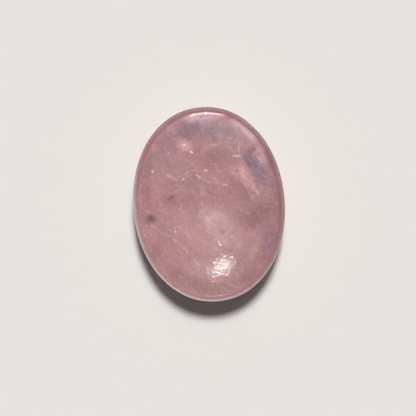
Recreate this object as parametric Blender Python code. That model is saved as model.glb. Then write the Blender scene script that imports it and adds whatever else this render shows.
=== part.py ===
"""An oval worry stone of rose quartz, one polished piece, modelled at its real size.

Metres, +Z up. The long axis lies along Y and the short one along X. The origin is the middle of the
small flat spot that the stone rests on, so the stone stands on Z = 0.
"""

import math

import bmesh
import bpy
from mathutils import Vector

# Driving dimensions
LENGTH = 0.045
WIDTH = 0.035
THICKNESS = 0.009
WAIST_HEIGHT = 0.0048
HOLLOW_LENGTH = 0.0416
HOLLOW_WIDTH = 0.0323
HOLLOW_DEPTH = 0.0036
FLAT_SPOT_LENGTH = 0.014
FLAT_SPOT_WIDTH = 0.0105

# How each curve swells: 2 is a true ellipse, and more is fuller
OUTLINE_POWER = 2.07
UNDERSIDE_POWER = 2.25
WALL_POWER = 2.0
HOLLOW_POWER = 2.2

# The rim's inner edge is softened over this share of the hollow's depth
RIM_SOFTNESS = 0.012

# The hollow is ground by hand, a little nearer the +X and -Y sides, so the rim is narrower there
HOLLOW_SHIFT = Vector((0.00025, -0.0004, 0.0))

# Its lowest point lies further to the +X side
HOLLOW_LOWEST = Vector((0.0032, -0.0006, 0.0))

# The rim rises and falls by this much on its way round, and is highest a little to one side of its +Y end
RIM_WANDER = 0.00007
RIM_WANDER_TURN = 0.3

# Facets
STEPS_ROUND = 80
UNDERSIDE_STEPS = 9
WALL_STEPS = 9
HOLLOW_STEPS = 14

# Above 1, this draws the hollow's rings closer together near the rim, where it turns over into the crest
HOLLOW_CROWDING = 1.5

QUARTER_TURN = math.pi / 2
ROSE = (0.45, 0.26, 0.27, 1.0)


def signed_power(value, power):
    """The power of a value's size, with the value's sign kept."""
    return math.copysign(abs(value) ** power, value)


def oval(angle, length, width):
    """The point at this angle on a level superellipse, which is an ellipse with slightly fuller shoulders."""
    bend = 2.0 / OUTLINE_POWER
    x = width / 2 * signed_power(math.cos(angle), bend)
    y = length / 2 * signed_power(math.sin(angle), bend)
    return Vector((x, y, 0.0))


def underside_point(angle, turn):
    """From the edge of the flat spot (turn 0) along a swelling curve to the waist (turn a quarter)."""
    inner = oval(angle, FLAT_SPOT_LENGTH, FLAT_SPOT_WIDTH)
    outer = oval(angle, LENGTH, WIDTH)
    bend = 2.0 / UNDERSIDE_POWER
    point = inner.lerp(outer, math.sin(turn) ** bend)
    point.z = WAIST_HEIGHT * (1 - math.cos(turn) ** bend)
    return point


def crest_point(angle):
    """A point on the rim's crest, which is level apart from one slow rise and fall."""
    point = oval(angle, HOLLOW_LENGTH, HOLLOW_WIDTH) + HOLLOW_SHIFT
    point.z = THICKNESS - RIM_WANDER * (1 - math.sin(angle + RIM_WANDER_TURN)) / 2
    return point


def wall_point(angle, turn):
    """From the waist (turn 0) up a quarter of an upright superellipse to the crest (turn a quarter)."""
    crest = crest_point(angle)
    outer = oval(angle, LENGTH, WIDTH)
    bend = 2.0 / WALL_POWER
    point = crest.lerp(outer, math.cos(turn) ** bend)
    point.z = WAIST_HEIGHT + (crest.z - WAIST_HEIGHT) * math.sin(turn) ** bend
    return point


def hollow_point(angle, share):
    """From the crest (share 1) down into the thumb hollow, whose lowest point is at share 0.

    Each level curve is the crest's oval, shrunk by the share. Its middle moves away from the crest's
    middle to the lowest point by one minus the share's square.
    """
    crest = crest_point(angle)
    middle = HOLLOW_SHIFT.lerp(HOLLOW_LOWEST, 1 - share**2)
    drop = 1 - share**HOLLOW_POWER
    soft_drop = math.hypot(drop, RIM_SOFTNESS) - RIM_SOFTNESS
    whole_drop = math.hypot(1, RIM_SOFTNESS) - RIM_SOFTNESS
    point = middle + (crest - HOLLOW_SHIFT) * share
    floor_height = THICKNESS - HOLLOW_DEPTH
    point.z = crest.z - (crest.z - floor_height) * soft_drop / whole_drop
    return point


def ring(mesh, point_at, place):
    """A closed loop of vertices round the stone, and the edges between them."""
    angles = [2 * math.pi * step / STEPS_ROUND for step in range(STEPS_ROUND)]
    vertices = [mesh.verts.new(point_at(angle, place)) for angle in angles]
    following = vertices[1:] + vertices[:1]
    return vertices, [mesh.edges.new(pair) for pair in zip(vertices, following)]


def profile():
    """The rings in order, from the flat spot over the rim to the last small ring of the hollow."""
    for step in range(UNDERSIDE_STEPS):
        yield underside_point, QUARTER_TURN * step / UNDERSIDE_STEPS
    for step in range(WALL_STEPS):
        yield wall_point, QUARTER_TURN * step / WALL_STEPS
    for step in range(HOLLOW_STEPS):
        yield hollow_point, 1 - (step / HOLLOW_STEPS) ** HOLLOW_CROWDING


def stone_material():
    """Pink quartz with a bright polish."""
    material = bpy.data.materials.new("rose_quartz")
    material.use_nodes = True
    shader = material.node_tree.nodes["Principled BSDF"]
    shader.inputs["Base Color"].default_value = ROSE
    shader.inputs["Roughness"].default_value = 0.12
    shader.inputs["Metallic"].default_value = 0.0
    shader.inputs["IOR"].default_value = 1.54
    return material


def make_stone():
    """Bridges the rings into one skin, closes it with the flat spot and with the hollow's floor."""
    mesh = bmesh.new()
    rings = [ring(mesh, point_at, place) for point_at, place in profile()]
    for (_, lower), (_, upper) in zip(rings, rings[1:]):
        bmesh.ops.bridge_loops(mesh, edges=lower + upper)
    mesh.faces.new(rings[0][0])
    floor = mesh.verts.new(hollow_point(0.0, 0.0))
    last = rings[-1][0]
    for first, second in zip(last, last[1:] + last[:1]):
        mesh.faces.new((first, second, floor))
    bmesh.ops.recalc_face_normals(mesh, faces=mesh.faces)

    data = bpy.data.meshes.new("worry_stone")
    mesh.to_mesh(data)
    mesh.free()
    data.shade_smooth()
    data.materials.append(stone_material())
    stone = bpy.data.objects.new("worry_stone", data)
    bpy.context.scene.collection.objects.link(stone)


for old in list(bpy.data.objects):
    bpy.data.objects.remove(old)
make_stone()
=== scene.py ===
# %% [markdown]
# # A rose quartz worry stone
# A worry stone is one small piece of quartz, ground to an oval and hollowed on one side for the thumb.
# The measured solid already has its true size and form, but it is plain and faceted. This lesson gives
# it a fine polished surface and the cloudy pink of rose quartz, and then lights and photographs it.

# %% Load the measured stone
import math

import bpy
import numpy as np
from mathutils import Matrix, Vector


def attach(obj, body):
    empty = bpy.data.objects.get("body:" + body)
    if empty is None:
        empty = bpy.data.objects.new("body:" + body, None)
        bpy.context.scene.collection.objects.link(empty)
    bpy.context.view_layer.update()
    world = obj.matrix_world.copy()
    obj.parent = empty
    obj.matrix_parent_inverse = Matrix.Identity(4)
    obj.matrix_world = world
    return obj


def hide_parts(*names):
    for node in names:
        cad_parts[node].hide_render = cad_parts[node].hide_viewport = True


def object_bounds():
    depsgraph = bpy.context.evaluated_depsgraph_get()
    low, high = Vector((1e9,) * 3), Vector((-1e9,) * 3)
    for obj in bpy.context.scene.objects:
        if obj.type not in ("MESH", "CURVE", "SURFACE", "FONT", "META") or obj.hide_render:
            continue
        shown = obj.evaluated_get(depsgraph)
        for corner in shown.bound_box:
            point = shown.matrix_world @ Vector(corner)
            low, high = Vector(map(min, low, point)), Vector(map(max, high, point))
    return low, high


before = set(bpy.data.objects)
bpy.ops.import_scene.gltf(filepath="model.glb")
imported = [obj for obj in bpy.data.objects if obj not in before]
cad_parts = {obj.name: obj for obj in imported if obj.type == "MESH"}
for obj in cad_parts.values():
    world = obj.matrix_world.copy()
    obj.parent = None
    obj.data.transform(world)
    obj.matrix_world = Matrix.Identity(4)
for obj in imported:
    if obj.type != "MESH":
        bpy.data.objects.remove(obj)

MM = 0.001
cad_low, cad_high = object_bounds()
WIDTH, LENGTH, HEIGHT = cad_high - cad_low
print(f"the stone is {LENGTH / MM:.1f} by {WIDTH / MM:.1f} by {HEIGHT / MM:.1f} mm")

# %% [markdown]
# ## The camera
# The stone is seen from straight above, from a little way off, so its sides hardly show. A long lens
# far away would do the same as a short one close by, apart from the slight spreading of the rim, so the
# distance is a comfortable 40 cm and the lens is worked out from it. The stone lies turned a little to
# the left in the picture. It is the camera that is turned, because the stone stays in its own frame.

# %% Make the camera
EYE_HEIGHT = 400 * MM
EYE_X, EYE_Y = -0.32 * MM, -0.86 * MM
LEAN = math.radians(5.66)
PICTURE_SIDE = 96.2 * MM
SENSOR = 36.0
NEAREST_SEEN = 10 * MM
WAIST_HEIGHT = 4.8 * MM

lens = bpy.data.cameras.new("camera")
lens.sensor_width = SENSOR
lens.lens = SENSOR * (EYE_HEIGHT - WAIST_HEIGHT) / PICTURE_SIDE
lens.clip_start = NEAREST_SEEN
camera = bpy.data.objects.new("camera", lens)
camera.location = (EYE_X, EYE_Y, EYE_HEIGHT)
camera.rotation_euler = (0, 0, -LEAN)
bpy.context.scene.collection.objects.link(camera)
bpy.context.scene.camera = camera
print(f"the lens is {lens.lens:.0f} mm")

# %% [markdown]
# ## The form
# The stone could be sculpted, or cut from a block with subdivision. Its form is so regular that four
# formulas say it better: the outline, the underside, the wall and the thumb hollow. They are the same
# as in the measured solid, and here they are read at many more points.

# %% Sizes of the form
HOLLOW_LENGTH = 41.6 * MM
HOLLOW_WIDTH = 32.3 * MM
HOLLOW_DEPTH = 3.6 * MM
FLAT_SPOT_LENGTH = 14 * MM
FLAT_SPOT_WIDTH = 10.5 * MM
HOLLOW_SHIFT = (0.25 * MM, -0.4 * MM)
HOLLOW_LOWEST = (3.2 * MM, -0.6 * MM)
RIM_WANDER = 0.07 * MM
RIM_WANDER_TURN = 0.3
RIM_SOFTNESS = 0.012
OUTLINE_POWER, UNDERSIDE_POWER, WALL_POWER, HOLLOW_POWER = 2.07, 2.25, 2.0, 2.2
QUARTER_TURN = math.pi / 2
print(f"the rim is about {(LENGTH - HOLLOW_LENGTH) / 2 / MM:.1f} mm wide at the ends")


# %% The outline and the crest
def oval(angle, length, width):
    """A superellipse: cosine and sine, each to a power just under 1, times half the width and length."""
    power = 2 / OUTLINE_POWER
    cosine, sine = np.cos(angle), np.sin(angle)
    x = width / 2 * np.sign(cosine) * abs(cosine) ** power
    y = length / 2 * np.sign(sine) * abs(sine) ** power
    return x, y


def crest(angle):
    """The hollow's own oval, moved a little off the middle. Its height is a sine wave, once round."""
    x, y = oval(angle, HOLLOW_LENGTH, HOLLOW_WIDTH)
    z = HEIGHT - RIM_WANDER * (1 - np.sin(angle + RIM_WANDER_TURN)) / 2
    return x + HOLLOW_SHIFT[0], y + HOLLOW_SHIFT[1], z


# %% The underside, the wall and the hollow
def underside(angle, turn):
    """Outwards from the flat spot by turn's sine to a power, upwards by one minus its cosine to one."""
    power = 2 / UNDERSIDE_POWER
    out, up = np.sin(turn) ** power, 1 - np.cos(turn) ** power
    near_x, near_y = oval(angle, FLAT_SPOT_LENGTH, FLAT_SPOT_WIDTH)
    far_x, far_y = oval(angle, LENGTH, WIDTH)
    return near_x + (far_x - near_x) * out, near_y + (far_y - near_y) * out, WAIST_HEIGHT * up


def wall(angle, turn):
    """Outwards from the crest by turn's cosine to a power, upwards from the waist by its sine to one."""
    power = 2 / WALL_POWER
    out, up = np.cos(turn) ** power, np.sin(turn) ** power
    near_x, near_y, top = crest(angle)
    far_x, far_y = oval(angle, LENGTH, WIDTH)
    height = WAIST_HEIGHT + (top - WAIST_HEIGHT) * up
    return near_x + (far_x - near_x) * out, near_y + (far_y - near_y) * out, height


def hollow(angle, share):
    """Level ovals, shrunk by share. Their middle moves to the lowest point by one minus share squared.

    The drop is one minus share to a power. It is eased at the crest: the long side of a right triangle
    with the rim's softness as its short side, less that softness.
    """
    x, y, top = crest(angle)
    middle_x, middle_y = HOLLOW_SHIFT
    moved = 1 - share**2
    drop = np.hypot(1 - share**HOLLOW_POWER, RIM_SOFTNESS) - RIM_SOFTNESS
    whole = np.hypot(1, RIM_SOFTNESS) - RIM_SOFTNESS
    low_x, low_y = HOLLOW_LOWEST
    depth = top - (HEIGHT - HOLLOW_DEPTH)
    x = middle_x + (low_x - middle_x) * moved + (x - middle_x) * share
    y = middle_y + (low_y - middle_y) * moved + (y - middle_y) * share
    return x, y, top - depth * drop / whole


# %% [markdown]
# ## The mesh
# Rings of points run from the hollow over the rim and down to the flat spot. Rings that shrink to one
# point would pinch the polish in the middle. So the middle of the hollow, and the flat spot, are each a
# square sheet bent into a disk, whose edge has as many points as a ring.

# %% A square sheet bent into a disk
SIDE_CELLS = 120
ROUND = 4 * SIDE_CELLS


def disk():
    """Radius is the larger of |a| and |b|, and the angle runs evenly along each side of the square."""
    steps = np.linspace(-1, 1, SIDE_CELLS + 1)
    a, b = np.meshgrid(steps, steps, indexing="ij")
    radius = np.maximum(abs(a), abs(b))
    sideways = abs(a) >= abs(b)
    ahead, beside = np.where(sideways, a, b), np.where(sideways, b, -a)
    side = np.where(sideways, np.where(a < 0, 2, 0), np.where(b < 0, 3, 1))
    along = beside / np.where(radius == 0, 1, ahead)
    return radius.ravel(), (QUARTER_TURN * side + QUARTER_TURN / 2 * along).ravel()


def disk_edge():
    """The numbers of the disk's edge points in order, from the angle of -45 degrees anticlockwise."""
    number = np.arange((SIDE_CELLS + 1) ** 2).reshape(SIDE_CELLS + 1, SIDE_CELLS + 1)
    return np.concatenate([number[-1, :-1], number[:0:-1, -1], number[0, :0:-1], number[:-1, 0]])


def disk_faces():
    """Each cell of the square as a face of four points, anticlockwise seen from above."""
    number = np.arange((SIDE_CELLS + 1) ** 2).reshape(SIDE_CELLS + 1, SIDE_CELLS + 1)
    corners = number[:-1, :-1], number[1:, :-1], number[1:, 1:], number[:-1, 1:]
    return np.stack(corners, axis=-1).reshape(-1, 4)


radius, angle = disk()
print(f"each disk has {len(radius)} points, and {ROUND} of them on its edge")

# %% [markdown]
# The rings lie close together where the surface turns sharply, at the crest, and further apart where it
# is nearly flat. This puts the detail where a highlight would show a facet.

# %% Rings from the hollow to the flat spot
MIDDLE_SHARE = 0.8
HOLLOW_CROWDING, WALL_CROWDING = 1.4, 1.5
HOLLOW_RINGS, WALL_RINGS, UNDERSIDE_RINGS = 32, 30, 24

ring_angle = -QUARTER_TURN / 2 + 2 * math.pi * np.arange(ROUND) / ROUND
inwards = (np.arange(1, HOLLOW_RINGS) / HOLLOW_RINGS)[::-1] ** HOLLOW_CROWDING
shares = 1 - (1 - MIDDLE_SHARE) * np.append(inwards, 0)
wall_turns = QUARTER_TURN * (1 - (np.arange(1, WALL_RINGS + 1) / WALL_RINGS) ** WALL_CROWDING)
underside_turns = QUARTER_TURN * (1 - np.arange(1, UNDERSIDE_RINGS) / UNDERSIDE_RINGS)


def rings(surface, places):
    """One ring of points for each place, as rows of x, y and z."""
    points = np.broadcast_arrays(*surface(ring_angle[None, :], places[:, None]))
    return np.stack(points, axis=-1).reshape(-1, 3)


flat_x, flat_y = oval(angle, FLAT_SPOT_LENGTH, FLAT_SPOT_WIDTH)
points = np.concatenate([
    np.stack(hollow(angle, radius * MIDDLE_SHARE), axis=-1),
    rings(hollow, shares),
    rings(wall, wall_turns),
    rings(underside, underside_turns),
    np.stack([flat_x * radius, flat_y * radius, np.zeros_like(radius)], axis=-1),
])
ring_count = len(shares) + len(wall_turns) + len(underside_turns)
print(f"{ring_count} rings, {len(points)} points in all")

# %% Join the rings into one skin
disk_size = len(radius)
between = disk_size + np.arange(ring_count * ROUND).reshape(ring_count, ROUND)
loops = np.vstack([disk_edge(), between, disk_edge() + len(points) - disk_size])
inner, outer = loops[:-1], loops[1:]
corners = inner, outer, np.roll(outer, -1, axis=1), np.roll(inner, -1, axis=1)
band = np.stack(corners, axis=-1).reshape(-1, 4)
underneath = disk_faces()[:, ::-1] + len(points) - disk_size
faces = np.concatenate([disk_faces(), band, underneath])

mesh = bpy.data.meshes.new("rose_quartz_stone")
mesh.from_pydata(points, [], faces)
mesh.shade_smooth()
print(f"{2 * len(faces)} triangles")

# %% [markdown]
# ## The touch of the polishing wheel
# A stone that is held against a wheel by hand is never perfectly even. Waves a few millimetres long and
# a few thousandths high can't be seen, but they make a highlight's edge wander. They could be a bump in
# the material, but they belong to the form, so the points themselves move. A sum of sine waves in all
# directions gives them. They only take material away, so the stone stays within its measured size.

# %% Hand-ground waves
WAVES = 24
WAVE_LENGTHS = (3 * MM, 9 * MM)
WAVE_HEIGHT = 0.004 * MM
WAVE_SEED = 7
WAVELESS_HEIGHT = 0.5 * MM

chance = np.random.default_rng(WAVE_SEED)
directions = chance.normal(size=(WAVES, 3))
directions /= np.linalg.norm(directions, axis=1, keepdims=True)
turns = 2 * math.pi / chance.uniform(*WAVE_LENGTHS, WAVES)
starts = chance.uniform(0, 2 * math.pi, WAVES)
ripple = np.sin(points @ (directions * turns[:, None]).T + starts).sum(axis=1) / math.sqrt(WAVES)
ripple = WAVE_HEIGHT * (ripple - ripple.max())

normals = np.empty(len(points) * 3, np.float32)
mesh.vertex_normals.foreach_get("vector", normals)
above_flat_spot = np.clip(points[:, 2] / WAVELESS_HEIGHT, 0, 1)
points = points + normals.reshape(-1, 3) * (ripple * above_flat_spot)[:, None]
mesh.vertices.foreach_set("co", points.astype(np.float32).ravel())
mesh.update()
print(f"the waves are up to {-ripple.min() / MM:.3f} mm deep")

# %% [markdown]
# The hollow was ground with a smaller, softer wheel than the rim, and thumbs have rubbed it since, so its
# polish differs. The hollow could be a surface of its own with a second material, but then a seam would
# show at the crest. Instead each point carries a number: 0 outside the hollow and 1 inside it.

# %% Mark what lies in the hollow
EDGE_OF_HOLLOW = 0.012 * MM
hollow_points = disk_size + len(shares) * ROUND
in_hollow = np.zeros(len(points), np.float32)
crest_drop = (HEIGHT - points[:hollow_points, 2]) / EDGE_OF_HOLLOW
in_hollow[:hollow_points] = np.clip(crest_drop, 0, 1)
mesh.attributes.new("in_hollow", "FLOAT", "POINT").data.foreach_set("value", in_hollow)

stone = bpy.data.objects.new("rose_quartz_stone", mesh)
bpy.context.scene.collection.objects.link(stone)
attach(stone, "root")
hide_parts("worry_stone")
print(f"{hollow_points} points lie in the hollow")

# %% [markdown]
# Near the edge, light that enters the stone soon leaves it again through the steep wall, so the stone looks
# darker there.
# That shade is painted: a ring of deeper pink runs all the way round, about a millimetre inside the outline,
# stronger on one side. It could come from light that is followed through the stone, but that is slow and
# grainy. Here it is one more number for each point, and it lays the painted shade there.

# %% Mark the ring of painted shade
RING_DEPTH = 1.12 * MM
RING_WIDTH = 0.42 * MM
RING_STRENGTH = 0.68
RING_CHANGE = 0.32
RING_TURN = math.radians(45)
LEAST_LEVEL, LEAST_GROWTH = 0.1, 1.0


def depth_inside(x, y):
    """What the outline's formula lacks to 1 at a place, over how fast it grows there: a distance.

    In the middle of the stone both are held up, so that nothing is divided by zero.
    """
    half_width, half_length, less = WIDTH / 2, LENGTH / 2, OUTLINE_POWER - 1
    across, along = abs(x) / half_width, abs(y) / half_length
    level = (across**OUTLINE_POWER + along**OUTLINE_POWER) ** (1 / OUTLINE_POWER)
    level = np.maximum(level, LEAST_LEVEL)
    growth = np.hypot(across**less / half_width, along**less / half_length) / level**less
    return (1 - level) / np.maximum(growth, LEAST_GROWTH)


off_ring = (depth_inside(points[:, 0], points[:, 1]) - RING_DEPTH) / RING_WIDTH
turned = np.arctan2(points[:, 1], points[:, 0]) - RING_TURN
ring = np.exp(-(off_ring**2)) * (RING_STRENGTH + RING_CHANGE * np.cos(turned))
ring = ring * (points[:, 2] > WAIST_HEIGHT)
mesh.attributes.new("ring", "FLOAT", "POINT").data.foreach_set("value", ring.astype(np.float32))
print(f"the ring is strongest at {np.degrees(RING_TURN):.0f} degrees")

# %% [markdown]
# ## Rose quartz
# Rose quartz is pink all through, and full of clouds, veils and tiny cracks. They could be painted on a
# picture, but then the sides and the underside would need one too. So the colour is worked out in three
# dimensions: a point is coloured by where it lies in the stone, and every side agrees with the next.

# %% A short way to write shader nodes
quartz = bpy.data.materials.new("rose_quartz")
quartz.use_nodes = True
tree = quartz.node_tree
shader = tree.nodes["Principled BSDF"]


def node(kind, inputs, output=0, **settings):
    """Adds one node, sets or links its inputs, and gives back one of its outputs."""
    made = tree.nodes.new(kind)
    for name, value in settings.items():
        setattr(made, name, value)
    for socket, value in inputs.items():
        if isinstance(value, bpy.types.NodeSocket):
            tree.links.new(value, made.inputs[socket])
        else:
            made.inputs[socket].default_value = value
    return made.outputs[output]


def sums(operation, *values):
    """One sum on plain numbers, such as ADD or MULTIPLY."""
    return node("ShaderNodeMath", dict(enumerate(values)), operation=operation)


def lumps(place, size, detail=3.0, roughness=0.5, output=0):
    """Soft random lumps about this many millimetres across."""
    wanted = {"Vector": place, "Scale": 1 / size, "Detail": detail, "Roughness": roughness}
    return node("ShaderNodeTexNoise", wanted, output)


def ease(value, low, high, start=0.0, end=1.0):
    """Goes smoothly from start to end while the value goes from low to high."""
    wanted = {"Value": value, "From Min": low, "From Max": high, "To Min": start, "To Max": end}
    return node("ShaderNodeMapRange", wanted, interpolation_type="SMOOTHSTEP")


def paint(under, over, share):
    """Lays one colour over another, by a share from 0 to 1."""
    return node("ShaderNodeMix", {0: share, 6: under, 7: over}, 2, data_type="RGBA")


def shade(red, green, blue):
    """A screen's colour, 0 to 255, as an amount of light: divided by 12.92 if dark, else a power of 2.4."""
    parts = np.array([red, green, blue]) / 255
    light = np.where(parts <= 0.04045, parts / 12.92, ((parts + 0.055) / 1.055) ** 2.4)
    return (*light.tolist(), 1.0)


position = node("ShaderNodeTexCoord", {}, "Object")
place = node("ShaderNodeVectorMath", {0: position, 1: (1 / MM,) * 3}, operation="MULTIPLY")
print("the shader works in millimetres")

# %% [markdown]
# Nothing in a stone has a drawn edge. Every place is pushed aside a little by random lumps before it is
# looked up, some of them large, which bends the clouds, and some small, which frays their edges. Small
# cracks and flecks stay crisp: they are frayed by less.

# %% Bend and fray
BEND_SIZE, BEND_DISTANCE = 6.0, 3.0
FRAY_SIZE, FRAY_DISTANCE = 0.9, 0.9
CRISP_SIZE, CRISP_DISTANCE = 0.6, 0.4


def push(start, size, distance):
    """Moves a place by up to half this distance each way."""
    colour = lumps(start, size, detail=2.0, output="Color")
    centred = node("ShaderNodeVectorMath", {0: colour, 1: (0.5,) * 3}, operation="SUBTRACT")
    scaled = node("ShaderNodeVectorMath", {0: centred, 1: (distance,) * 3}, operation="MULTIPLY")
    return node("ShaderNodeVectorMath", {0: start, 1: scaled}, operation="ADD")


bent = push(place, BEND_SIZE, BEND_DISTANCE)
frayed = push(bent, FRAY_SIZE, FRAY_DISTANCE)
crisp = push(place, CRISP_SIZE, CRISP_DISTANCE)
print(f"clouds bend by up to {BEND_DISTANCE / 2} mm and fray by {FRAY_DISTANCE / 2} mm")

# %% [markdown]
# ## The body colour
# The pink isn't even. It goes from a dull deep rose to a pale one, and in places towards lilac or a
# warm salmon. One even pink would look like plastic. So each change is one layer of lumps: how large they
# are, between which of their values the new colour sets in, and how strongly it shows there.

# %% Body colour
ROSE = shade(178, 136, 137)
DEEP_ROSE = shade(162, 118, 121)
PALE_ROSE = shade(194, 156, 156)
LILAC = shade(172, 136, 146)
SALMON = shade(188, 141, 139)

body = paint(DEEP_ROSE, ROSE, ease(lumps(bent, 7.0), 0.3, 0.5, 0.3, 1.0))
body = paint(body, PALE_ROSE, ease(lumps(frayed, 3.0, detail=5.0, roughness=0.65), 0.5, 0.7, 0.0, 0.6))
body = paint(body, SALMON, ease(lumps(frayed, 5.0, detail=3.0), 0.5, 0.65, 0.0, 0.5))
print("the body colour has three layers of lumps")

# %% [markdown]
# ## Clouds, veils and flecks
# What makes this stone this one are its own marks, with a few painted highlights, a painted sheen and
# painted shade among them. Each is a soft-edged egg with a place, a size and a colour. They lie just below
# the polished top, so none of them shows on the underside.

# %% How a mark is made
MARK_DEPTH = 3.0
top_points = points[:hollow_points] / MM


def top_height(x, y):
    """The height of the hollow's surface nearest to this place, in millimetres."""
    distance = np.hypot(top_points[:, 0] - x, top_points[:, 1] - y)
    return float(top_points[distance.argmin(), 2])


def egg(where, x, y, length, width, turn, core):
    """The gradient is one minus the distance from the egg's middle, so it is gone where that reaches 1.

    Easing makes it full wherever it is above one minus the core.
    """
    wanted = {
        "Vector": where,
        "Location": (x, y, top_height(x, y)),
        "Rotation": (0, 0, math.radians(turn)),
        "Scale": (length / 2, width / 2, MARK_DEPTH),
    }
    local = node("ShaderNodeMapping", wanted, vector_type="TEXTURE")
    near = node("ShaderNodeTexGradient", {"Vector": local}, 1, gradient_type="SPHERICAL")
    return ease(near, 0.0, 1 - core)


smoky = ease(lumps(frayed, 1.3, detail=4.0, roughness=0.65), 0.3, 0.55, 0.55, 1.0)
torn = ease(lumps(place, 0.45, detail=3.0), 0.36, 0.56, 0.15, 1.0)
print("a cloud is smoky, and a veil is torn")

# %% [markdown]
# Each mark below is x, y, length and width in millimetres and turn in degrees, then its colour, its
# strength and the share that is core. The places were read off the photo. The last two flecks
# cross on the rim: a painted highlight, the star where a lamp glints on the crest.

# %% The marks
DARK_LILAC = shade(142, 110, 124)
PALE_LILAC = shade(184, 150, 160)
GREY = shade(110, 78, 94)
PEACH = shade(210, 163, 163)
BLUSH = shade(230, 180, 182)
DULL = shade(154, 114, 116)
MILK = shade(222, 186, 189)
# Painted sheen: the pale light mirrored inside the upper rim.
PAINTED_SHEEN = shade(210, 174, 181)
RED = shade(148, 86, 94)
# Painted highlight white: the glints of tiny cracks, and the star on the rim.
CRACK_AND_GLINT_WHITE = shade(255, 246, 244)
BROWN = shade(160, 128, 122)
BEIGE = shade(162, 131, 131)
WARM = shade(200, 156, 154)
# Painted shade: the deeper pink that the ring lays inside the outline.
SHADE_RING_PINK = shade(144, 99, 106)

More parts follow.
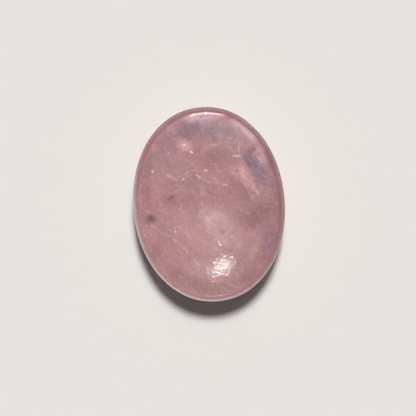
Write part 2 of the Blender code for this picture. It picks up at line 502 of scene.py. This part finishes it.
CLOUDS = [
    (-0.5, 17.6, 18.0, 7.5, 0, LILAC, 0.9, 0.2),
    (-3.3, 16.8, 7.0, 5.0, -10, DARK_LILAC, 0.65, 0.1),
    (-0.9, 17.8, 4.5, 3.4, 0, DARK_LILAC, 0.5, 0.1),
    (2.2, 16.2, 5.5, 4.0, 0, DARK_LILAC, 0.75, 0.1),
    (-6.0, 18.3, 7.0, 3.2, 35, PALE_LILAC, 0.75, 0.1),
    (-7.9, 15.1, 8.0, 7.0, 0, LILAC, 0.8, 0.1),
    (-10.8, 12.0, 9.0, 6.0, 50, LILAC, 0.6, 0.1),
    # The marks in the pale veil colour hug the inside of the upper rim: a painted sheen, the soft light
    # mirrored on the hollow's upper slope.
    (1.0, 19.9, 13.0, 2.6, 0, PAINTED_SHEEN, 0.8, 0.2),
    (5.8, 15.4, 11.0, 8.0, -20, BEIGE, 0.75, 0.1),
    (4.6, 15.2, 11.0, 7.0, -10, DARK_LILAC, 0.35, 0.1),
    (-2.0, 19.6, 7.0, 2.6, 8, PAINTED_SHEEN, 0.8, 0.1),
    (8.0, 17.6, 7.0, 3.2, -35, PAINTED_SHEEN, 0.7, 0.1),
    (9.8, 16.7, 9.0, 2.2, -46, PAINTED_SHEEN, 0.8, 0.2),
    (-13.4, 9.6, 11.0, 4.5, 72, DULL, 0.5, 0.1),
    (-14.2, 5.0, 9.0, 4.0, 85, DEEP_ROSE, 0.4, 0.1),
    (-6.5, 11.5, 8.0, 6.0, 0, PALE_LILAC, 0.35, 0.1),
    (5.0, -7.0, 10.0, 9.0, -40, PALE_ROSE, 0.4, 0.1),
    (-1.5, -11.5, 9.0, 8.0, 0, PALE_ROSE, 0.5, 0.1),
    (7.6, 11.8, 7.0, 5.0, 0, DULL, 0.5, 0.1),
    (11.2, 14.8, 7.0, 2.9, -52, PAINTED_SHEEN, 0.85, 0.2),
    (13.3, 9.8, 6.5, 1.9, -80, PAINTED_SHEEN, 0.7, 0.1),
    (9.6, 13.8, 3.2, 1.4, -45, BROWN, 0.5, 0.1),
    (-4.3, 14.3, 5.0, 3.6, -20, PEACH, 0.85, 0.1),
    (2.5, 10.5, 9.0, 6.5, 0, DEEP_ROSE, 0.5, 0.2),
    (9.0, 11.0, 8.0, 6.0, 0, DULL, 0.4, 0.1),
    (10.0, 9.1, 5.8, 4.4, -45, DARK_LILAC, 1.0, 0.3),
    (11.6, 7.4, 7.4, 4.8, -60, DARK_LILAC, 0.95, 0.2),
    # Painted shade: the dark band just inside the rim at the upper right.
    (14.9, 8.2, 9.0, 2.8, -72, DARK_LILAC, 0.75, 0.1),
    (12.7, 4.9, 6.4, 3.8, -65, DARK_LILAC, 0.7, 0.1),
    (10.3, 8.6, 5.4, 3.2, -42, GREY, 0.75, 0.1),
    (14.3, 4.1, 5.6, 2.6, -75, LILAC, 0.7, 0.1),
    (14.0, 0.5, 7.0, 3.5, 90, LILAC, 0.4, 0.1),
    (8.0, 6.1, 7.4, 5.2, -55, PEACH, 0.95, 0.1),
    (9.4, 4.1, 6.6, 4.0, -55, PEACH, 0.8, 0.1),
    (11.2, 2.2, 4.6, 1.3, -68, MILK, 0.5, 0.1),
    (8.6, 0.7, 7.0, 3.6, -20, DEEP_ROSE, 0.45, 0.1),
    (11.2, -3.8, 12.0, 9.0, 0, DULL, 0.9, 0.2),
    (13.2, -9.8, 12.0, 6.0, 80, DARK_LILAC, 0.7, 0.1),
    (15.4, -1.0, 20.0, 4.0, 90, DULL, 0.6, 0.1),
    (6.0, -9.0, 7.0, 7.0, 0, PALE_ROSE, 0.5, 0.1),
    (11.0, -14.0, 7.0, 5.0, 60, DULL, 0.6, 0.1),
    (0.7, -4.2, 12.0, 10.0, -50, MILK, 0.8, 0.1),
    (2.1, -5.6, 9.0, 6.5, -40, PALE_ROSE, 0.9, 0.2),
    (1.8, -8.9, 9.0, 6.5, 0, PALE_ROSE, 0.7, 0.2),
    (-2.8, -8.0, 9.0, 9.0, 0, WARM, 0.8, 0.2),
    (-4.2, -14.4, 8.5, 5.0, -10, PALE_ROSE, 0.6, 0.2),
    (-13.0, -10.0, 8.0, 6.0, -55, DEEP_ROSE, 0.5, 0.1),
    (1.8, -19.4, 14.0, 4.6, 0, BROWN, 0.8, 0.2),
    (6.5, -17.4, 8.0, 4.4, 30, DULL, 0.7, 0.1),
    (-4.5, -18.2, 9.0, 4.4, -25, DULL, 0.7, 0.1),
    (-8.0, -16.6, 12.0, 5.0, -35, BROWN, 0.55, 0.1),
    (-13.7, 3.4, 7.0, 4.0, 90, DEEP_ROSE, 0.55, 0.1),
    (-6.0, 3.6, 7.0, 5.0, 0, PALE_ROSE, 0.5, 0.1),
    (-8.5, -15.5, 9.0, 5.5, -40, DEEP_ROSE, 0.6, 0.1),
    (-6.5, -4.2, 11.0, 9.0, 0, PALE_ROSE, 0.65, 0.1),
]
VEILS = [
    (-10.4, 7.1, 3.4, 2.4, -20, PALE_LILAC, 1.0, 0.1),
    (-12.2, 7.2, 2.0, 2.6, 0, PALE_LILAC, 0.7, 0.1),
    (-8.4, 7.3, 2.8, 1.3, -32, MILK, 0.7, 0.1),
    (-7.3, 6.5, 2.4, 1.0, -25, MILK, 0.65, 0.1),
    (-4.5, 7.6, 3.4, 0.9, 28, MILK, 0.5, 0.1),
    (-2.4, 8.0, 3.8, 0.9, -8, MILK, 0.45, 0.1),
    (-1.9, 6.6, 3.0, 0.9, -40, MILK, 0.7, 0.1),
    (-0.5, 5.6, 2.8, 0.8, -34, MILK, 0.7, 0.1),
    (1.4, 4.9, 4.0, 0.7, -10, MILK, 0.6, 0.1),
    (0.6, 6.6, 3.6, 1.6, -25, PALE_ROSE, 0.6, 0.1),
    (2.4, 13.5, 3.2, 0.7, 0, MILK, 0.5, 0.1),
    (6.3, 14.6, 1.8, 0.5, -15, MILK, 0.35, 0.1),
    (8.3, 6.3, 4.2, 0.8, -66, BLUSH, 1.0, 0.3),
    (8.9, 6.6, 3.2, 0.6, -66, BLUSH, 0.8, 0.2),
    (10.4, 3.8, 3.6, 0.7, -66, BLUSH, 0.7, 0.1),
    (9.0, 5.4, 2.2, 0.5, -62, MILK, 0.7, 0.1),
    (9.9, 3.4, 2.0, 0.7, -70, MILK, 0.5, 0.1),
    (11.5, 1.5, 2.0, 0.6, -60, MILK, 0.6, 0.1),
    (13.2, 7.4, 3.0, 0.6, -58, PALE_LILAC, 0.8, 0.1),
    (13.4, 5.0, 3.4, 0.6, -55, PALE_LILAC, 0.8, 0.1),
    (12.4, 6.0, 2.6, 0.5, -50, PALE_LILAC, 0.6, 0.1),
    (12.8, 9.0, 3.2, 0.9, -60, BLUSH, 0.9, 0.2),
    (-8.1, 12.5, 2.4, 0.6, 30, MILK, 0.4, 0.1),
    (-3.8, 13.7, 4.4, 3.4, 0, BLUSH, 0.5, 0.1),
    (-10.3, -5.9, 3.0, 1.0, -35, MILK, 0.45, 0.1),
    (-8.4, -7.6, 4.4, 0.9, -42, MILK, 0.55, 0.1),
    (-6.6, -9.8, 4.4, 1.1, -52, MILK, 0.5, 0.1),
    (-4.4, -12.8, 5.4, 1.4, -57, MILK, 0.45, 0.1),
    (-6.6, 3.8, 2.8, 0.5, 10, MILK, 0.4, 0.1),
    (-6.4, 0.3, 2.2, 0.7, 80, MILK, 0.45, 0.1),
    (-3.2, -4.4, 3.4, 0.7, -50, MILK, 0.35, 0.1),
    (1.8, -8.9, 5.6, 4.0, -20, MILK, 0.4, 0.2),
    # Painted reflection: the lilac-pink fringe at the right edge of the glare in the hollow.
    (5.5, -15.2, 3.4, 2.2, 0, PALE_LILAC, 0.6, 0.1),
]
# The flecks are tiny cracks in the stone, and the glints they throw back are painted into their white:
# partly real, partly painted highlight.
FLECKS = [
    (-4.3, 14.1, 0.8, 0.6, 0, CRACK_AND_GLINT_WHITE, 0.75, 0.2),
    (-2.8, 12.3, 1.3, 0.6, -30, CRACK_AND_GLINT_WHITE, 0.7, 0.1),
    (-12.1, 8.7, 0.8, 1.1, 0, MILK, 0.9, 0.1),
    (-5.3, 6.3, 0.7, 0.7, 0, CRACK_AND_GLINT_WHITE, 0.55, 0.1),
    (-3.3, 7.2, 0.6, 0.5, 0, MILK, 0.5, 0.1),
    (-1.6, 6.5, 0.8, 0.5, -30, CRACK_AND_GLINT_WHITE, 0.5, 0.1),
    (0.1, 7.8, 1.4, 0.8, 0, MILK, 0.85, 0.1),
    (4.2, 4.1, 1.8, 0.6, -5, MILK, 0.85, 0.1),
    (7.5, 10.4, 2.5, 0.6, -10, MILK, 0.75, 0.4),
    (8.1, 12.2, 4.4, 0.4, 84, MILK, 0.45, 0.3),
    (-1.6, 0.4, 1.8, 0.5, -75, MILK, 0.6, 0.1),
    (1.6, -9.5, 1.1, 0.6, -50, CRACK_AND_GLINT_WHITE, 1.0, 0.3),
    (1.3, -8.8, 1.0, 0.6, -50, CRACK_AND_GLINT_WHITE, 0.9, 0.1),
    (0.7, -8.2, 0.6, 0.5, 0, CRACK_AND_GLINT_WHITE, 0.6, 0.1),
    (3.3, -7.6, 0.8, 0.6, 0, MILK, 0.6, 0.1),
    (-8.4, -5.6, 0.7, 0.6, 0, CRACK_AND_GLINT_WHITE, 0.75, 0.1),
    (-8.4, -4.9, 1.6, 0.4, 85, MILK, 0.5, 0.1),
    # Painted highlight: a white star on the crest where a lamp glints.
    (1.3, 20.8, 1.5, 0.5, -4, CRACK_AND_GLINT_WHITE, 1.0, 0.3),
    (1.3, 20.8, 0.5, 1.4, -4, CRACK_AND_GLINT_WHITE, 1.0, 0.3),
]
STAINS = [
    (-13.6, -2.2, 4.2, 3.4, 0, BROWN, 0.5, 0.1),
    (-13.7, -2.1, 4.2, 3.4, 30, GREY, 0.7, 0.1),
    (-13.5, -1.7, 1.3, 1.1, 0, GREY, 0.4, 0.2),
    (-8.4, 2.3, 3.0, 1.8, 20, RED, 0.8, 0.1),
    (-6.8, 2.8, 2.6, 0.5, 8, RED, 0.5, 0.1),
    (-5.3, 5.6, 0.6, 0.5, 0, RED, 0.6, 0.1),
    (0.1, 2.9, 0.7, 0.8, 0, RED, 0.7, 0.1),
    (2.5, -6.7, 1.9, 1.4, -50, RED, 0.65, 0.1),
    (10.9, 11.4, 2.7, 2.7, 0, RED, 1.0, 0.3),
    (11.8, 12.5, 2.8, 0.6, -15, RED, 0.6, 0.1),
    (7.3, 7.0, 0.9, 0.9, 0, RED, 0.8, 0.1),
    (6.4, 14.1, 1.8, 0.5, -15, DARK_LILAC, 0.8, 0.1),
    (2.7, 14.4, 1.6, 1.2, 0, RED, 0.5, 0.1),
    (0.0, 20.0, 0.7, 0.5, 0, DARK_LILAC, 0.8, 0.1),
    (1.6, 20.0, 0.7, 0.5, 0, DARK_LILAC, 0.8, 0.1),
    (4.4, 18.2, 1.4, 1.3, 0, PALE_LILAC, 0.6, 0.3),
]
LAYERS = [(CLOUDS, frayed, smoky), (VEILS, crisp, torn), (STAINS, crisp, smoky), (FLECKS, crisp, 1.0)]

colour = body
for marks, where, texture in LAYERS:
    for x, y, length, width, turn, tint, strength, core in marks:
        share = sums("MULTIPLY", egg(where, x, y, length, width, turn, core), strength)
        colour = paint(colour, tint, sums("MULTIPLY", share, texture))
print(f"{len(CLOUDS)} clouds, {len(VEILS)} veils, {len(FLECKS)} flecks and {len(STAINS)} stains")

# %% [markdown]
# ## Grain, veins and wisps
# Close to, the stone is mottled like sugar, hair-thin healed cracks cross it, and faint pale and dark
# wisps all slant one way, as the crystal grew. Lines could be drawn one by one, but there are hundreds.
# So a crack is where soft lumps pass through their middle value, which happens along thin lines, and
# wisps are lumps stretched to three times their length.

# %% Grain
GRAIN_SIZE, GRAIN_CHANGE = 0.6, 0.1

sugar = lumps(place, GRAIN_SIZE, detail=4.0, roughness=0.7)
grain = ease(sugar, 0.3, 0.7, 1 - GRAIN_CHANGE, 1 + GRAIN_CHANGE)
sugared = node("ShaderNodeVectorMath", {0: colour, 3: grain}, operation="SCALE")
print(f"grain changes the colour by up to {GRAIN_CHANGE:.0%}")

# %% Veins
VEIN_SIZE, VEIN_THICKNESS, VEIN_STRENGTH = 5.0, 0.012, 0.35


def hairlines(size, thickness):
    """One where lumps of this size are at their middle value, and nothing from the thickness on."""
    value = lumps(frayed, size, detail=2.0)
    off_middle = sums("ABSOLUTE", sums("SUBTRACT", value, 0.5))
    return ease(off_middle, thickness, 0.0)


patches = ease(lumps(bent, VEIN_SIZE), 0.5, 0.65)
veins = sums("MULTIPLY", hairlines(VEIN_SIZE, VEIN_THICKNESS), sums("MULTIPLY", patches, VEIN_STRENGTH))
colour = paint(sugared, MILK, veins)
print("the veins come and go in patches")

# %% Wisps
WISP_TURN, WISP_STRETCH, WISP_STRENGTH = math.radians(-38), 3.0, 0.35
PALE_WISP_SIZE, DARK_WISP_SIZE = 1.3, 1.9

slant = {"Vector": bent, "Rotation": (0, 0, WISP_TURN), "Scale": (WISP_STRETCH, 1.0, 1.0)}
slanted = node("ShaderNodeMapping", slant, vector_type="TEXTURE")


def wisps(size):
    """Lumps in the slanted frame, eased from nothing at just over their middle value to full strength."""
    return ease(lumps(slanted, size, detail=5.0, roughness=0.65), 0.52, 0.75, 0.0, WISP_STRENGTH)


colour = paint(colour, MILK, wisps(PALE_WISP_SIZE))
colour = paint(colour, DULL, wisps(DARK_WISP_SIZE))
print(f"the wisps slant by {math.degrees(WISP_TURN):.0f} degrees")

# %% The ring of painted shade over all of it
RING_SHARE = 0.8

# Painted shade: a deeper pink where the ring number is high, stronger on one side.
painted_shade = node("ShaderNodeAttribute", {}, "Fac", attribute_name="ring")
colour = paint(colour, SHADE_RING_PINK, sums("MULTIPLY", painted_shade, RING_SHARE))
tree.links.new(colour, shader.inputs["Base Color"])
print("the ring lies over the other marks")

# %% [markdown]
# ## Polish
# The rim is polished like glass. The hollow is finely pitted, so that a lamp's reflection there breaks
# into sparks, and a thin film of wax or skin grease lays a soft glow round them. The pits could be part
# of the form, but they are under a millimetre wide and a few hundredths deep. They would need several
# times as many points and show only in highlights, so a bump does it. Roughness spreads a highlight, and
# a coat over the polish is the film.

# %% Polish
RIM_ROUGHNESS = 0.07
HOLLOW_ROUGHNESS = (0.06, 0.09)
PIT_SIZE = 0.75
PIT_HEIGHT = 0.042 * MM
QUARTZ_BENDING = 1.54
FILM_WEIGHT, FILM_ROUGHNESS = 0.5, 0.18

inside = node("ShaderNodeAttribute", {}, "Fac", attribute_name="in_hollow")
worn = ease(lumps(bent, 3.0, detail=4.0), 0.35, 0.65, *HOLLOW_ROUGHNESS)
change = sums("MULTIPLY", sums("SUBTRACT", worn, RIM_ROUGHNESS), inside)
tree.links.new(sums("ADD", change, RIM_ROUGHNESS), shader.inputs["Roughness"])

depth = sums("MULTIPLY", lumps(place, PIT_SIZE, detail=1.6), inside)
bump = node("ShaderNodeBump", {"Height": depth, "Strength": 1.0, "Distance": PIT_HEIGHT})
tree.links.new(bump, shader.inputs["Normal"])
shader.inputs["IOR"].default_value = QUARTZ_BENDING
tree.links.new(sums("MULTIPLY", inside, FILM_WEIGHT), shader.inputs["Coat Weight"])
shader.inputs["Coat Roughness"].default_value = FILM_ROUGHNESS
print(f"the rim's roughness is {RIM_ROUGHNESS}, the hollow's {HOLLOW_ROUGHNESS[0]} to {HOLLOW_ROUGHNESS[1]}")

# %% [markdown]
# ## Light inside the stone
# Light goes some way into rose quartz and comes out again beside where it went in, red the furthest. A
# clear body with a fog in it would be truest, but it is slow and grainy to render, so the shader's own
# subsurface scattering does it.

# %% Subsurface scattering
SCATTER_PARTS = (1.0, 0.7, 0.65)
SCATTER_DISTANCE = 0.6 * MM

shader.inputs["Subsurface Weight"].default_value = 1.0
shader.inputs["Subsurface Radius"].default_value = SCATTER_PARTS
shader.inputs["Subsurface Scale"].default_value = SCATTER_DISTANCE
stone.data.materials.append(quartz)
print(f"red light goes about {SCATTER_DISTANCE / MM:.1f} mm into the stone")

# %% [markdown]
# ## The floor
# The stone lies on plain pale paper. A sheet that curves up behind would do too, but from above a flat
# one is enough. It goes on past everything that a camera could see, and has no gloss, so that only the
# stone has highlights. The stone doesn't mirror it: in reflections the room takes its place.

# %% Floor
FLOOR_SIDE = 20.0

floor_mesh = bpy.data.meshes.new("paper")
half = FLOOR_SIDE / 2
floor_corners = [(-half, -half, 0), (half, -half, 0), (half, half, 0), (-half, half, 0)]
floor_mesh.from_pydata(floor_corners, [], [(0, 1, 2, 3)])
floor = bpy.data.objects.new("paper", floor_mesh)
bpy.context.scene.collection.objects.link(floor)
paper = bpy.data.materials.new("paper")
paper.use_nodes = True
paper_shader = paper.node_tree.nodes["Principled BSDF"]
paper_shader.inputs["Base Color"].default_value = shade(232, 229, 224)
paper_shader.inputs["Roughness"].default_value = 1.0
paper_shader.inputs["Specular IOR Level"].default_value = 0.0
floor.data.materials.append(paper)
floor.visible_glossy = False
print(f"the paper is {FLOOR_SIDE:.0f} m wide")

# %% [markdown]
# ## The light
# One soft lamp shines from beyond the top of the picture, about 30 degrees off vertical. It makes the
# short, soft shadow, and a wider, weaker one beside it blurs the shadow's far end. They are as far away
# as a sun, so they light the whole paper evenly.
#
# The stone glows far more evenly than that one lamp would make it, because light wanders about inside
# it. Following that light would be slow and grainy. So the paper's lamps light the paper alone, and the
# stone has a dome of light and a weak lamp of its own.

# %% Directions in the picture
picture_right = Vector((math.cos(LEAN), -math.sin(LEAN), 0))
picture_up = Vector((math.sin(LEAN), math.cos(LEAN), 0))


def towards(tilt, side):
    """Straight up, tilted by this many degrees towards a side of the picture: 0 is its top, 90 its right."""
    level = picture_up * math.cos(math.radians(side)) + picture_right * math.sin(math.radians(side))
    return level * math.sin(math.radians(tilt)) + Vector((0, 0, math.cos(math.radians(tilt))))


# %% The shadow lamps
def far_lamp(name, tilt, side, strength, spread, only):
    """A lamp as far away as a sun, so many degrees across, for the objects in one collection alone.

    It doesn't show in gloss. The other set of lamps does that.
    """
    sun = bpy.data.lights.new(name, "SUN")
    sun.energy = strength
    sun.angle = math.radians(spread)
    lamp = bpy.data.objects.new(name, sun)
    lamp.rotation_mode = "QUATERNION"
    lamp.rotation_quaternion = towards(tilt, side).to_track_quat("Z", "Y")
    lamp.visible_glossy = False
    lamp.light_linking.receiver_collection = only
    bpy.context.scene.collection.objects.link(lamp)


on_paper = bpy.data.collections.new("on_paper")
on_paper.objects.link(floor)
far_lamp("key", 31.2, 5, 2.83, 12, on_paper)
far_lamp("halo", 36, 5, 0.5, 28, on_paper)
print("the key is 31.2 degrees off vertical")

# %% The glow inside the stone
on_stone = bpy.data.collections.new("on_stone")
on_stone.objects.link(stone)
far_lamp("dome", 0, 0, 2.45, 180, on_stone)
far_lamp("top", 22, 5, 1.0, 40, on_stone)
print("the dome lights only the stone")

# %% [markdown]
# A highlight's size and a shadow's softness are each set to what the eye sees, so what shows in the
# polish has lamps of its own. The window and its weaker glow make the patch in the hollow, the strip
# makes the line of light on the upper rim, and the card fills the lower edge.

# %% Lamps that show only in gloss
LAMP_DISTANCE = 0.6


def gloss_lamp(name, tilt, side, width, height, brightness):
    """A soft box seen only in reflections, so many degrees wide and high.

    Each side is twice the distance times the tangent of half its angle. Its power is brightness times
    pi times area.
    """
    box = bpy.data.lights.new(name, "AREA")
    box.shape = "ELLIPSE"
    box.size = 2 * LAMP_DISTANCE * math.tan(math.radians(width / 2))
    box.size_y = 2 * LAMP_DISTANCE * math.tan(math.radians(height / 2))
    area = math.pi / 4 * box.size * box.size_y
    box.energy = brightness * math.pi * area
    lamp = bpy.data.objects.new(name, box)
    direction = towards(tilt, side)
    lamp.location = direction * LAMP_DISTANCE
    lamp.rotation_mode = "QUATERNION"
    lamp.rotation_quaternion = direction.to_track_quat("Z", "Y")
    lamp.visible_camera = lamp.visible_diffuse = lamp.visible_transmission = False
    lamp.visible_volume_scatter = False
    bpy.context.scene.collection.objects.link(lamp)


gloss_lamp("window", 23.3, -3.5, 11, 2.3, 24)
gloss_lamp("glow", 23.3, -3.5, 14, 4.6, 6)
gloss_lamp("strip", 52, 0.5, 25, 6.5, 72)
gloss_lamp("card", 40, 204, 60, 34, 1.0)
print("four soft boxes show in the polish")

# %% [markdown]
# The polish also mirrors what lies round it, and the steep side of the stone mirrors the pale paper from
# below the horizon. A mirrored flat sheet would be equally bright all round, but the stone has its thin
# light line mostly at the lower left. So the room stands for the paper in reflections: its brightness
# grows with how far a direction agrees with one low direction at that side.

# %% The room
LOW_TILT, LOW_SIDE = 125, 208
LOW_FROM, LOW_FULL = 0.3, 0.85
DIM, BRIGHT = 0.25, 0.9
SEEN_STRENGTH = 0.8
FILL_STRENGTH = 0.09
COOL, WARM_WHITE = (0.93, 1.0, 1.07, 1.0), (1.0, 0.98, 0.95, 1.0)

room = bpy.data.worlds.new("room")
bpy.context.scene.world = room
room.use_nodes = True
tree = room.node_tree
background = tree.nodes["Background"]
shiny = node("ShaderNodeLightPath", {}, "Is Glossy Ray")
seen = node("ShaderNodeLightPath", {}, "Is Camera Ray")
direction = node("ShaderNodeTexCoord", {}, "Generated")
low_light = towards(LOW_TILT, LOW_SIDE)
facing = node("ShaderNodeVectorMath", {0: direction, 1: low_light}, "Value", operation="DOT_PRODUCT")
polish = ease(facing, LOW_FROM, LOW_FULL, DIM, BRIGHT)
strength = sums("ADD", sums("MULTIPLY", shiny, polish), sums("MULTIPLY", seen, SEEN_STRENGTH))
strength = sums("MAXIMUM", strength, FILL_STRENGTH)
tree.links.new(strength, background.inputs["Strength"])
colour = paint(COOL, WARM_WHITE, sums("MAXIMUM", shiny, seen))
tree.links.new(colour, background.inputs["Color"])
bpy.context.scene.view_settings.view_transform = "Standard"
print("the room is dim to the paper and pale to the eye")
